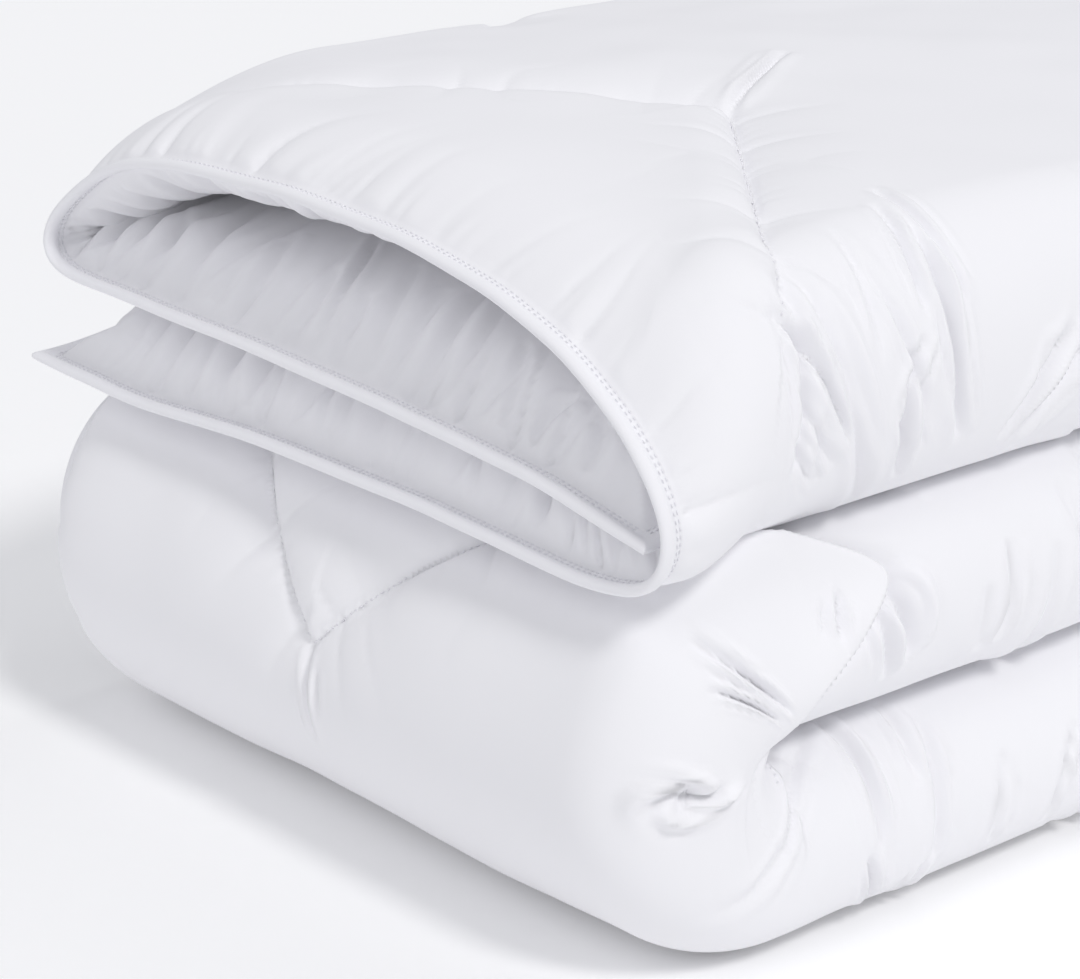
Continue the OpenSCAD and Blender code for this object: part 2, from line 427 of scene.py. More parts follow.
def ridges(x, y, seed):
    """Noise with sharp valleys and round backs, as puckered cloth has."""
    return 1.6 * np.sqrt(np.abs(drift(x, y, seed))) - 1


# A row of puckers beside stitches: their spacing, their length, how far from the stitches they
# reach, how sharply they end there, and their depth
HEM_FINE = (0.010, 0.09, 0.013, 1.5, 0.0018)
HEM_BROAD = (0.021, 0.20, 0.036, 1.5, 0.0056)
SEAM_FINE = (0.009, 0.05, 0.012, 1.5, 0.0010)
SEAM_BROAD = (0.022, 0.10, 0.035, 1.6, 0.0030)

# The cloth lies flat for this far beside the stitches themselves
FLAT_BESIDE = 0.005

# Farthest that the puckers of a hem reach into the cloth, and how they fade towards a corner
PUCKER_REACH = 0.11
CORNER_CLEAR = 0.015
CORNER_RUN = 0.05


def pucker_row(t, d, seed, row):
    """One row of puckers, `t` along the stitches and `d` away from them."""
    spacing, length, reach, end, depth = row
    return depth * (ridges(t / spacing, d / length, seed) * np.exp(-(d / reach) ** end))


def puckers(t, d, seed):
    """Puckers that fan out from a hem's stitches, stronger in some places than in others."""
    fan = t + 0.5 * d * drift(t / 0.08, d / 0.3, seed)
    strong = 0.40 + 0.60 * np.abs(drift(t / 0.07, 0 * d, seed + 3))
    rows = pucker_row(fan, d, seed + 1, HEM_FINE) + strong * pucker_row(fan, d, seed + 2, HEM_BROAD)
    return smooth(d / FLAT_BESIDE) * rows


def hem_puckers(u, s, seed):
    """Puckers along the four hems."""
    out = np.zeros(u.shape)
    for k, (t, d) in enumerate(((s, u), (s, WIDTH - u), (u, s), (u, LENGTH - s))):
        beside = (d > HEM_W) & (d < HEM_W + PUCKER_REACH)
        end = np.minimum(t, (WIDTH if k > 1 else LENGTH) - t)[beside]
        held = smooth((end - CORNER_CLEAR) / CORNER_RUN)
        out[beside] += held * puckers(t[beside], d[beside] - HEM_W, seed + 10 * k)
    return out


def seam_puckers(u, s, seed, sizes):
    """Puckers that run away from the quilted seams."""
    gap, place, _ = seam_distance(u, s, sizes.quilt_reach)
    rows = pucker_row(place, gap, seed, SEAM_FINE) + pucker_row(place, gap, seed + 1, SEAM_BROAD)
    return smooth(gap / FLAT_BESIDE) * rows


# The wadding's unevenness: spacing and depth of its broad and its small swells
BROAD_SWELL = (0.13, 0.0022)
SMALL_SWELL = (0.045, 0.0009)


def soft_swell(u, s, seed):
    """The wadding's own unevenness, none at the hems."""
    inside = smooth((hem_distance(u, s) - HEM_W) / 0.08)
    return inside * sum(depth * drift(u / spacing, s / spacing, seed + k)
                        for k, (spacing, depth) in enumerate((BROAD_SWELL, SMALL_SWELL)))


# Creases of the near side, and one that runs on from the point of each of two chevrons: the
# places of both ends (u, s), how far the middle bows along the cloth, the width and the depth. The
# places came out of the same mapping program, and were then rounded to 5 mm.
PLEATS = (
    ((0.610, 0.115), (0.545, 0.100), 0.000, 0.0050, 0.0060),
    ((0.600, 0.100), (0.550, 0.140), 0.000, 0.0035, 0.0075),
    ((0.615, 0.120), (0.520, 0.170), 0.006, 0.0060, 0.0055),
    ((0.560, 0.095), (0.540, 0.120), 0.002, 0.0030, 0.0025),
    ((0.575, 0.100), (0.545, 0.130), 0.002, 0.0030, 0.0030),
    ((0.620, 0.165), (0.575, 0.160), 0.002, 0.0045, 0.0025),
    ((0.605, 0.165), (0.550, 0.195), 0.000, 0.0045, 0.0035),
    ((0.625, 0.205), (0.585, 0.195), 0.003, 0.0040, 0.0050),
    ((0.580, 0.190), (0.530, 0.190), 0.012, 0.0045, 0.0065),
    ((0.610, 0.210), (0.540, 0.225), 0.006, 0.0050, 0.0090),
    ((0.640, 0.220), (0.585, 0.225), 0.004, 0.0040, 0.0040),
    ((0.570, 0.305), (0.535, 0.260), 0.004, 0.0040, 0.0055),
    ((0.565, 0.335), (0.535, 0.275), 0.004, 0.0050, 0.0070),
    ((0.620, 0.360), (0.545, 0.350), 0.006, 0.0060, 0.0040),
    ((0.600, 0.410), (0.535, 0.395), 0.004, 0.0045, 0.0055),
    ((0.805, 0.280), (0.860, 0.380), 0.000, 0.0040, 0.0060),
    ((0.290, 1.560), (0.290, 1.590), 0.000, 0.0035, 0.0040),
    ((0.530, 1.515), (0.575, 1.505), 0.004, 0.0040, 0.0050),
    ((0.545, 1.525), (0.575, 1.515), 0.000, 0.0030, 0.0040),
    ((0.545, 1.455), (0.560, 1.465), 0.000, 0.0030, 0.0040),
    ((0.545, 1.415), (0.580, 1.400), -0.004, 0.0070, 0.0105),
    ((0.555, 1.425), (0.585, 1.415), 0.000, 0.0035, 0.0035),
    ((0.560, 1.345), (0.590, 1.340), 0.000, 0.0070, 0.0030),
    ((0.620, 1.710), (0.560, 1.715), 0.000, 0.0045, 0.0065),
    ((0.615, 1.750), (0.580, 1.745), 0.000, 0.0045, 0.0035),
    ((0.605, 1.765), (0.545, 1.760), 0.004, 0.0050, 0.0055),
    ((0.560, 1.705), (0.530, 1.725), 0.000, 0.0035, 0.0050),
    ((0.550, 1.755), (0.525, 1.750), 0.000, 0.0035, 0.0035),
    ((0.580, 1.810), (0.540, 1.810), 0.004, 0.0035, 0.0035),
    ((0.580, 1.870), (0.540, 1.855), 0.004, 0.0035, 0.0035),
    ((0.615, 1.700), (0.540, 1.615), 0.010, 0.0045, 0.0030),
)

# A crease's cross-section, in shares of its width: how far it reaches, how steep its two sides
# are, and where its shoulders stand and how wide; then in shares of its depth: how high the
# shoulders are and how deep the valley
CREASE_REACH = 5
CREASE_SIDES = (1.3, 0.8)
SHOULDER_PLACE = 2.2
SHOULDER_WIDTH = 1.2
SHOULDER_HEIGHT = 0.45
VALLEY_DEPTH = 1.75

# Width and depth of a listed crease and of the finer ones beside it, in shares of its own
MAIN_CREASE = (0.68, 0.82)
SIDE_CREASE = (0.5, 0.28)

# The seeded creases of the near side lie in these spans of the length, this far apart
CREASED_SPANS = ((0.44, 0.70), (0.90, 1.33), (1.90, 2.18))
CREASE_STEP = 0.026


def fold_stretch(s):
    """How much longer a step along the cloth is for a crease that starts at `s`."""
    return 2.0 if S_ENDS[3] < s < S_ENDS[4] else 1.0


def pleat(u, s, start, end, bow, width, depth):
    """One crease: a sharp valley between two soft shoulders, fading at its ends."""
    stretch = fold_stretch(start[1])
    run_u, run_s = end[0] - start[0], (end[1] - start[1]) * stretch
    length = math.hypot(run_u, run_s)
    du, ds = u - start[0], (s - start[1]) * stretch
    t = (du * run_u + ds * run_s) / length ** 2
    off = (du * run_s - ds * run_u) / length + bow * 4 * t * (1 - t)
    out = np.zeros(u.shape)
    near = (np.abs(off) < CREASE_REACH * width) & (t > 0) & (t < 1)
    t, off = t[near], off[near] / width
    fade = np.sin(math.pi * t) ** 0.7
    valley = np.exp(-np.abs(off * np.where(off > 0, *CREASE_SIDES)) ** 1.5)
    shoulder = SHOULDER_HEIGHT * np.exp(-((np.abs(off) - SHOULDER_PLACE) / SHOULDER_WIDTH) ** 2)
    out[near] = VALLEY_DEPTH * depth * fade * (shoulder - valley)
    return out


def near_pleats(u, s):
    """The listed creases with finer ones beside them, and a seeded run farther back."""
    out = np.zeros(u.shape)
    rng = np.random.default_rng(31)
    for start, end, bow, width, depth in PLEATS:
        out += pleat(u, s, start, end, bow, MAIN_CREASE[0] * width, MAIN_CREASE[1] * depth)
        stretch = fold_stretch(start[1])
        run = np.array([end[0] - start[0], end[1] - start[1]])
        aside = (0, 1 / stretch) if abs(run[0]) > abs(run[1]) * stretch else (1, 0)
        for side in (-1, 1):
            shift = side * rng.uniform(0.006, 0.011) * np.array(aside)
            first, last = rng.uniform(0.05, 0.3), rng.uniform(0.65, 0.95)
            out += pleat(u, s, start + run * first + shift, start + run * last + shift,
                         bow, SIDE_CREASE[0] * width, SIDE_CREASE[1] * depth)
    for low, high in CREASED_SPANS:
        for start in np.arange(low, high, CREASE_STEP):
            middle = U_ENDS[1] + rng.uniform(0.03, 0.09)
            reach = rng.uniform(0.02, 0.04)
            at = start + rng.uniform(0, 0.02)
            lean = rng.uniform(-0.012, 0.012)
            out += pleat(u, s, (middle + reach, at), (middle - reach, at + lean),
                         rng.uniform(-0.005, 0.005), rng.uniform(0.0035, 0.006),
                         rng.uniform(0.0015, 0.005))
    return out


# The near front corner: the front fold's cloth stands over the middle third's in a plump lip.
# From its turning place the lip's line steps back on one side, and leans away on the other.
LIP_U, LIP_S = 0.545, 1.421
LIP_BACK, LIP_BACK_RUN = 0.058, 0.03
LIP_LEAN, LIP_BEND = 2.4, 0.006

# Where the lip begins and ends across the duvet, with the runs in which it grows and fades
LIP_BEGIN, LIP_GROW = 0.455, 0.075
LIP_END, LIP_FADE = 0.600, 0.03

# The lip's rise with the dip before it as a share of that, and the runs of its step, of its
# crown and of its dip
LIP_RISE, LIP_DIP = 0.015, 1.1
LIP_STEP, LIP_CROWN, LIP_VALLEY = 0.022, 0.06, 0.028

# A step along the cloth counts for more than one across it on the outside of the front fold
LIP_STRETCH = 1.5
KNOT_STRETCH = 2

# The knot: its place, the number, height, radius and width of its folds, the run in which they
# turn by one radian, the depth and width of its dimple, and the height, radius and width of its rim
KNOT_U, KNOT_S = 0.549, 1.564
KNOT_FOLDS = (4, 0.0035, 0.012, 0.010)
KNOT_TWIST = 0.012
KNOT_DIMPLE = (0.009, 0.0065)
KNOT_RIM = (0.003, 0.016, 0.006)


def front_lip(u, s):
    """The lip's step, raised on the front fold's side of a line that bends back round it."""
    past = u - LIP_U
    line = LIP_S + np.where(past < 0, LIP_BACK * smooth(-past / LIP_BACK_RUN),
                            LIP_LEAN * (np.sqrt(past ** 2 + LIP_BEND ** 2) - LIP_BEND))
    ahead = (s - line) * LIP_STRETCH
    held = smooth((u - LIP_BEGIN) / LIP_GROW) * smooth((LIP_END - u) / LIP_FADE)
    over = smooth(ahead / LIP_STEP + 0.5)
    raised = over * np.exp(-(np.clip(ahead, 0, None) / LIP_CROWN) ** 2)
    sunk = (1 - over) * np.exp(-(np.clip(-ahead, 0, None) / LIP_VALLEY) ** 2)
    return held * LIP_RISE * (raised - LIP_DIP * sunk)


def knot(u, s):
    """A small twisted pucker, with folds that turn out from it."""
    du, ds = u - KNOT_U, (s - KNOT_S) * KNOT_STRETCH
    r = np.hypot(du, ds)
    turn = np.arctan2(ds, du) + r / KNOT_TWIST

    def ring(height, radius, width):
        return height * np.exp(-((r - radius) / width) ** 2)

    count, *fold = KNOT_FOLDS
    depth, width = KNOT_DIMPLE
    return np.cos(count * turn) * ring(*fold) - ring(depth, 0, width) + ring(*KNOT_RIM)


# Near the mouth the layer that is tucked under at the far fold lies face down, and its hem's
# puckers are weaker by this share. Both runs have the one length.
FACE_DOWN = 0.7
FACE_DOWN_RUN = 0.1


def outer_wrinkles(u, s, sizes):
    """All that stands in or out on the outer sheet."""
    beyond = smooth((u - U_ENDS[3]) / FACE_DOWN_RUN)
    inward = smooth((s - FACE_DOWN_RUN) / FACE_DOWN_RUN)
    held = 1 - FACE_DOWN * beyond * (1 - inward)
    return (held * hem_puckers(u, s, 101) + seam_puckers(u, s, 202, sizes)
            + soft_swell(u, s, 303) + near_pleats(u, s) + front_lip(u, s) + knot(u, s))


# Creases that run into the mouth: their spacing, how far from the side hems they stay, how far
# behind the hem's flat they start, and how strong the inner sheet's puckers are beside the outer's
INNER_STEP = 0.021
INNER_CLEAR = (0.06, 0.04)
INNER_START = HEM_W + 0.003
INNER_PUCKERS = 1.7


def mouth_creases(u, s):
    """Seeded creases that run into the mouth from the end hem."""
    out = np.zeros(u.shape)
    rng = np.random.default_rng(47)
    for start in np.arange(INNER_CLEAR[0], WIDTH - INNER_CLEAR[1], INNER_STEP):
        place = start + rng.uniform(-0.006, 0.006)
        reach = rng.uniform(0.035, 0.11)
        aside = rng.uniform(-0.35, 0.35) * reach
        out += pleat(u, s, (place, INNER_START), (place + aside, HEM_W + reach),
                     rng.uniform(-0.006, 0.006), rng.uniform(0.003, 0.0055),
                     rng.uniform(0.0012, 0.0032))
    return out


def inner_wrinkles(u, s, sizes):
    """All that stands in or out on the inner sheet."""
    return (INNER_PUCKERS * hem_puckers(u, s, 404) + seam_puckers(u, s, 505, sizes)
            + soft_swell(u, s, 606) + mouth_creases(u, s))


# ---- The whole cloth as two grids of points -----------------------------------------------------

# Where the mesh is closer, with the spacing there: the near fold, the mouth, the front corner
CLOSE_U = ((0.50, 0.605, 0.0014), (U_ENDS[1] - 0.10, U_ENDS[2] + 0.16, 0.0022))
CLOSE_S = ((0.085, 0.25, 0.0016), (0.0, 0.46, 0.0022), (1.385, 1.53, 0.0014),
           (S_ENDS[3] - 0.04, S_ENDS[4] + 0.11, 0.0022))

# Mesh lines over a hem, from its edge, in shares of the hem
HEM_LINES = (0, 0.03, 0.1, 0.22, 0.36, 0.5, 0.6, 0.66, 0.8, 1)


def lines(ends, step, close):
    """Places of the mesh lines between 0 and the last end, closer together in some spans."""
    last = ends[-1]
    edge = np.array(HEM_LINES) * HEM_W
    limits = [limit for span in close for limit in span[:2]
              if 2 * HEM_W < limit < last - 2 * HEM_W]
    stops = sorted({HEM_W, last - HEM_W, *ends[1:-1], *limits})
    places = [edge]
    for low, high in zip(stops, stops[1:]):
        middle = (low + high) / 2
        spacing = min([step, *(span[2] for span in close if span[0] < middle < span[1])])
        count = max(2, math.ceil((high - low) / spacing))
        places.append(np.linspace(low, high, count + 1)[1:])
    places.append(last - edge[-2::-1])
    return np.concatenate(places)


def unit(v):
    """The same directions with a length of 1."""
    return v / np.maximum(np.linalg.norm(v, axis=-1, keepdims=True), 1e-12)


def grid_normals(points):
    """Normals of a grid of points, towards the outer sheet's side."""
    return unit(np.cross(np.gradient(points, axis=1), np.gradient(points, axis=0)))


def lowest_near(values):
    """The lowest value within a few mesh lines of each place."""
    for axis in (0, 1):
        for shift in (1, 1, 1, 2, 2):
            values = np.minimum(values, np.minimum(np.roll(values, shift, axis),
                                                   np.roll(values, -shift, axis)))
    return values


# The thin cloth at the hems ripples by this much and with this spacing, less so within this
# distance of a corner, and fades where half the thickness nears this measure
RIPPLE = 0.0010
RIPPLE_SPACING = 0.06
RIPPLE_CORNER = 0.08
RIPPLE_THICKNESS = 0.012

# The sheets lie at least this far above the ground
FLOOR_CLEAR = 0.0003


class Cloth:
    """The folded duvet's two sheets, as grids over (u, s)."""

    def __init__(self, sizes):
        self.u = lines(U_ENDS, sizes.step_across, CLOSE_U)
        self.s = lines(S_ENDS, sizes.step_along, CLOSE_S)
        u, s = np.meshgrid(self.u, self.s, indexing="ij")
        self.middle = fold_up(u, s)
        normals = grid_normals(self.middle)
        half = half_thickness(u, s, normals[..., 2], sizes)[..., None]
        corner = np.minimum(np.minimum(u, WIDTH - u), 1) + np.minimum(np.minimum(s, LENGTH - s), 1)
        waves = drift(u / RIPPLE_SPACING, s / RIPPLE_SPACING, 77) * smooth(corner / RIPPLE_CORNER)
        ripple = RIPPLE * waves[..., None] * smooth(1.2 - half / RIPPLE_THICKNESS)
        self.middle += normals * ripple
        self.normals = normals
        above = half[..., 0] + outer_wrinkles(u, s, sizes)
        below = half[..., 0] + inner_wrinkles(u, s, sizes)
        self.above = lowest_near(above)
        self.below = lowest_near(below)
        self.outer = self.middle + normals * above[..., None]
        self.inner = self.middle - normals * below[..., None]
        for sheet in (self.outer, self.inner):
            sheet[..., 2] = np.maximum(sheet[..., 2], FLOOR_CLEAR)
        self.outer_normals = grid_normals(self.outer)
        self.inner_normals = -grid_normals(self.inner)


def rows(places, low, high):
    """The mesh lines from `low` to `high`, as a slice."""
    first = int(np.argmin(np.abs(places - low)))
    last = int(np.argmin(np.abs(places - high)))
    return slice(first, last + 1)


def thinned(window, stride):
    """Every so many of a slice's mesh lines, with both ends kept."""
    last = window.stop - 1
    return np.append(np.arange(window.start, last, stride), last)


CLOTH = {}


def cloth():
    """The folded cloth, worked out once."""
    if "made" not in CLOTH:
        CLOTH["made"] = Cloth(bpy.context.scene.duvet_sizes)
    return CLOTH["made"]


def section_span(section):
    """Where a section lies along the cloth, without the end hems."""
    i = SECTIONS.index(section)
    return max(S_ENDS[i], HEM_W), min(S_ENDS[i + 1], LENGTH - HEM_W)


# ---- Meshes ---------------------------------------------------------------------------------------

def grid_faces(rows, columns, start=0, flip=False):
    """Four-sided faces between the points of a grid."""
    i, j = np.meshgrid(np.arange(rows - 1), np.arange(columns - 1), indexing="ij")
    a = start + i * columns + j
    corners = [a, a + columns, a + columns + 1, a + 1]
    if not flip:
        corners.reverse()
    return np.stack(corners, -1).reshape(-1, 4)


def mesh_object(name, points, faces, normals=None):
    """A new smooth mesh object from arrays, its faces turned to agree with the normals given."""
    if normals is not None:
        a, b, c, d = (points[faces[:, k]] for k in range(4))
        facing = np.einsum("ij,ij->i", np.cross(c - a, d - b), normals[faces[:, 0]])
        if np.median(facing) < 0:
            faces = faces[:, ::-1]
    mesh = bpy.data.meshes.new(name)
    mesh.from_pydata(points.tolist(), [], faces.tolist())
    mesh.shade_smooth()
    if normals is not None:
        mesh.normals_split_custom_set_from_vertices(normals.tolist())
    obj = bpy.data.objects.new(name, mesh)
    bpy.context.scene.collection.objects.link(obj)
    return obj


def sheet_object(name, points, normals):
    """One face of the cloth over a window of the grid."""
    rows, columns = points.shape[:2]
    faces = grid_faces(rows, columns)
    return mesh_object(name, points.reshape(-1, 3), faces, normals.reshape(-1, 3))


def hem_object(name, window, edge_first, axis):
    """A hem: the outer strip, round the edge, and the inner strip."""
    made = cloth()
    outer, inner = made.outer[window], made.inner[window]
    outer_n, inner_n = made.outer_normals[window], made.inner_normals[window]
    if axis == 1:
        outer, inner, outer_n, inner_n = (
            g.transpose(1, 0, 2) for g in (outer, inner, outer_n, inner_n))
    if not edge_first:
        outer, inner, outer_n, inner_n = (g[::-1] for g in (outer, inner, outer_n, inner_n))
    points = np.concatenate([outer[::-1], inner[1:]])
    normals = np.concatenate([outer_n[::-1], inner_n[1:]])
    edge = outer.shape[0] - 1
    normals[edge] = unit(points[edge] - (points[edge - 2] + points[edge + 2]) / 2)
    faces = grid_faces(points.shape[0], points.shape[1])
    return mesh_object(name, points.reshape(-1, 3), faces, normals.reshape(-1, 3))


# A reach to each side of the back fold's joint
BLEND_REACH = 0.06


def settle(obj, section, node, slot):
    """Gives a piece its finish and hides the frame's part that it replaces; a third's pieces move
    with that third's body, and the others are baked where they stand.
    """
    obj.data.materials.append(finish(slot))
    if node:
        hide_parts(node)
    if section in BODY:
        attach(obj, BODY[section])
    elif section == "front_fold":
        2 * LOWER_Z
        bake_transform(obj)
    else:
        UPPER_Z - BLEND_REACH
        UPPER_Z + BLEND_REACH
        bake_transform(obj)
    return obj


# ---- Finishes -------------------------------------------------------------------------------------

class Socket:
    """A number in a shader, on which the usual operators add Math nodes."""

    def __init__(self, tree, link):
        self.tree = tree
        self.link = link

    def math(self, operation, *others):
        """A Math node on this number and the others."""
        node = self.tree.node("ShaderNodeMath", {"operation": operation}, {0: self.link})
        for index, other in enumerate(others, 1):
            self.tree.feed(node, index, other)
        return Socket(self.tree, node.outputs[0])

    def __add__(self, other):
        return self.math("ADD", other)

    __radd__ = __add__

    def __mul__(self, other):
        return self.math("MULTIPLY", other)

    __rmul__ = __mul__

    def __sub__(self, other):
        return self.math("SUBTRACT", other)

    def __rsub__(self, other):
        return (self * -1) + other


class Tree:
    """A material's node tree."""

    def __init__(self, name):
        self.material = bpy.data.materials.new(name)
        self.material.use_nodes = True
        self.tree = self.material.node_tree
        self.tree.nodes.clear()

    def feed(self, node, key, value):
        """Sets a socket to a value, or links it."""
        value = getattr(value, "link", value)
        if isinstance(value, bpy.types.NodeSocket):
            self.tree.links.new(value, node.inputs[key])
        else:
            node.inputs[key].default_value = value

    def node(self, kind, settings=None, sockets=None):
        """A node of that type, with its settings made first and then its sockets fed."""
        node = self.tree.nodes.new(kind)
        for key, value in (settings or {}).items():
            setattr(node, key, value)
        for key, value in (sockets or {}).items():
            self.feed(node, key, value)
        return node

    def number(self, node, key=0):
        """An output of a node, as a number to reckon with."""
        return Socket(self, node.outputs[key])


def finish(slot):
    """The finish of a material slot, made once."""
    if slot not in bpy.data.materials:
        {"cotton_sheet": percale, "hem": hem_cloth, "filling": wadding, "thread": thread}[slot]()
    return bpy.data.materials[slot]


# Scales of the weave's threads and of the uneven thickness along them
WEAVE_SCALE = 560.0
SLUB_SCALE = 320.0


def woven(name, base, second_tone, weave_depth, tint_scale):
    """Fine percale: a plain weave, a faint slub and a slow drift of colour."""
    tree = Tree(name)
    place = tree.node("ShaderNodeTexCoord").outputs["Object"]
    tint = tree.number(tree.node(
        "ShaderNodeTexNoise", sockets={"Vector": place, "Scale": tint_scale, "Detail": 3.0}))
    slub = tree.number(tree.node(
        "ShaderNodeTexNoise", sockets={"Vector": place, "Scale": SLUB_SCALE, "Detail": 2.0}))
    warp = tree.number(tree.node(
        "ShaderNodeTexWave", {"bands_direction": "X"},
        {"Vector": place, "Scale": WEAVE_SCALE, "Distortion": 0.6}), "Fac")
    weft = tree.number(tree.node(
        "ShaderNodeTexWave", {"bands_direction": "Y"},
        {"Vector": place, "Scale": WEAVE_SCALE, "Distortion": 0.6}), "Fac")
    colour = tree.node(
        "ShaderNodeMix", {"data_type": "RGBA"},
        {"Factor": tint * 0.5 + slub * 0.2, "A": (*base, 1), "B": (*second_tone, 1)})
    height = warp * 0.5 + weft * 0.5 + slub * 0.8
    bump = tree.node(
        "ShaderNodeBump",
        sockets={"Strength": 0.35, "Distance": weave_depth, "Height": height})
    shader = tree.node("ShaderNodeBsdfPrincipled", sockets={
        "Base Color": colour.outputs["Result"],
        "Roughness": 0.52 + slub * 0.12,
        "Normal": bump.outputs["Normal"],
        "Sheen Weight": 0.25, "Sheen Roughness": 0.4,
        "Specular IOR Level": 0.35})
    output = tree.node("ShaderNodeOutputMaterial", sockets={"Surface": shader.outputs["BSDF"]})
    output.is_active_output = True
    return tree.material


def percale():
    """The cover's cloth, with the finest weave."""
    colours = bpy.context.scene.duvet_colours
    return woven("cotton_sheet", colours.sheet, colours.second_tone, 0.00012, 9.0)


def hem_cloth():
    """The hems' cloth, a little coarser where it is doubled."""
    colours = bpy.context.scene.duvet_colours
    return woven("hem", colours.sheet, colours.second_tone, 0.00016, 22.0)


def wadding():
    """The filling, rough and faintly warm in colour."""
    colours = bpy.context.scene.duvet_colours
    return woven("filling", colours.filling, colours.second_tone, 0.0006, 40.0)


def thread():
    """The sewing thread."""
    colours = bpy.context.scene.duvet_colours
    return woven("thread", colours.thread, colours.second_tone, 0.0001, 90.0)


# ---- Operators ------------------------------------------------------------------------------------

class DUVET_OT_stage(bpy.types.Operator):
    """Pale floor, soft studio light and the camera"""

    bl_idname = "duvet.stage"
    bl_label = "Stage"

    def execute(self, context):
        floor_sheet()
        soft_lights()
        studio_camera()
        return {"FINISHED"}


FLOOR_SIZE = 14.0

# The floor lies just under the duvet, clear of it
FLOOR_DROP = 0.001

# A little light of the floor's own keeps the ground pale right up to the stack
FLOOR_GLOW = 0.06


def floor_sheet():
    """The pale floor, which isn't part of the object."""
    colours = bpy.context.scene.duvet_colours
    mesh = bpy.data.meshes.new("floor")
    half = FLOOR_SIZE / 2
    mesh.from_pydata([(-half, -half, 0), (half, -half, 0), (half, half, 0), (-half, half, 0)],
                     [], [(0, 1, 2, 3)])
    floor = bpy.data.objects.new("floor", mesh)
    floor.location.z = -FLOOR_DROP
    bpy.context.scene.collection.objects.link(floor)
    tree = Tree("floor")
    place = tree.node("ShaderNodeTexCoord").outputs["Object"]
    grain = tree.number(tree.node(
        "ShaderNodeTexNoise", sockets={"Vector": place, "Scale": 60.0, "Detail": 2.0}))
    shader = tree.node("ShaderNodeBsdfPrincipled", sockets={
        "Base Color": (*colours.floor, 1), "Roughness": 0.8 + grain * 0.1,
        "Emission Color": (1, 1, 1, 1), "Emission Strength": FLOOR_GLOW})
    tree.node("ShaderNodeOutputMaterial", sockets={"Surface": shader.outputs["BSDF"]})
    mesh.materials.append(tree.material)


def toward(azimuth, elevation):
    """A unit step from the object, turned from the front by the azimuth and up by the elevation."""
    a, e = math.radians(azimuth), math.radians(elevation)
    return Vector((math.sin(a) * math.cos(e), -math.cos(a) * math.cos(e), math.sin(e)))


# How far away a lamp stands, which makes no difference to a sun's light
SUN_DISTANCE = 4

# The lamps: name, azimuth and elevation in degrees, spread of the light in degrees, power, colour
SUNS = (
    ("key", 84, 48, 12, 1.04, (1.0, 0.995, 0.985)),
    ("front", 8, 44, 30, 0.42, (0.98, 0.98, 1.0)),
    ("back", 165, 60, 40, 0.4, (0.96, 0.97, 1.0)),
)
WORLD_COLOUR = (0.95, 0.96, 1.0, 1)
WORLD_STRENGTH = 0.45


def soft_sun(name, azimuth, elevation, spread, power, colour):
    """Even light from one side, as a big lamp far away gives."""
    light = bpy.data.lights.new(name, "SUN")
    light.angle = math.radians(spread)
    light.energy = power
    light.color = colour
    lamp = bpy.data.objects.new(name, light)
    lamp.location = toward(azimuth, elevation) * SUN_DISTANCE
    lamp.rotation_mode = "QUATERNION"
    lamp.rotation_quaternion = (-toward(azimuth, elevation)).to_track_quat("-Z", "Y")
    bpy.context.scene.collection.objects.link(lamp)


def soft_lights():
    """The lamps and the even light of the world."""
    for sun in SUNS:
        soft_sun(*sun)
    world = bpy.data.worlds.new("studio")
    world.use_nodes = True
    background = world.node_tree.nodes["Background"]
    background.inputs["Color"].default_value = WORLD_COLOUR
    background.inputs["Strength"].default_value = WORLD_STRENGTH
    bpy.context.scene.world = world
    bpy.context.scene.view_settings.view_transform = "Standard"


# The camera stands off the near corner, a little above the stack
CAMERA_PLACE = (1.302, -1.359, 0.769)
CAMERA_AZIMUTH = 49.1
CAMERA_ELEVATION = 19.0
CAMERA_LENS = 106.2


def studio_camera():
    """The camera that the views start from."""
    data = bpy.data.cameras.new("camera")
    data.sensor_width = 36
    data.lens = CAMERA_LENS
    data.clip_start = 0.05
    camera = bpy.data.objects.new("camera", data)
    back = toward(CAMERA_AZIMUTH, CAMERA_ELEVATION)
    camera.location = CAMERA_PLACE
    camera.rotation_mode = "QUATERNION"
    camera.rotation_quaternion = (-back).to_track_quat("-Z", "Y")
    bpy.context.scene.collection.objects.link(camera)
    bpy.context.scene.camera = camera


# The inner sheet keeps every second of the cloth's mesh lines, but for the upper third's, which
# shows in the mouth
INNER_STRIDE = 2


class DUVET_OT_sheets(bpy.types.Operator):
    """The outer and inner fabric sheets, section by section"""

    bl_idname = "duvet.sheets"
    bl_label = "Fabric sheets"

    def execute(self, context):
        made = cloth()
        width = rows(made.u, HEM_W, WIDTH - HEM_W)
        for section in SECTIONS:
            window = (width, rows(made.s, *section_span(section)))
            node = section + "_outer_sheet"
            sheet = sheet_object(node + "_cloth", made.outer[window], made.outer_normals[window])
            settle(sheet, section, node, "cotton_sheet")
            if section != "upper":
                window = np.ix_(*(thinned(span, INNER_STRIDE) for span in window))
            node = section + "_inner_sheet"
            sheet = sheet_object(node + "_cloth", made.inner[window], made.inner_normals[window])
            settle(sheet, section, node, "cotton_sheet")
        return {"FINISHED"}


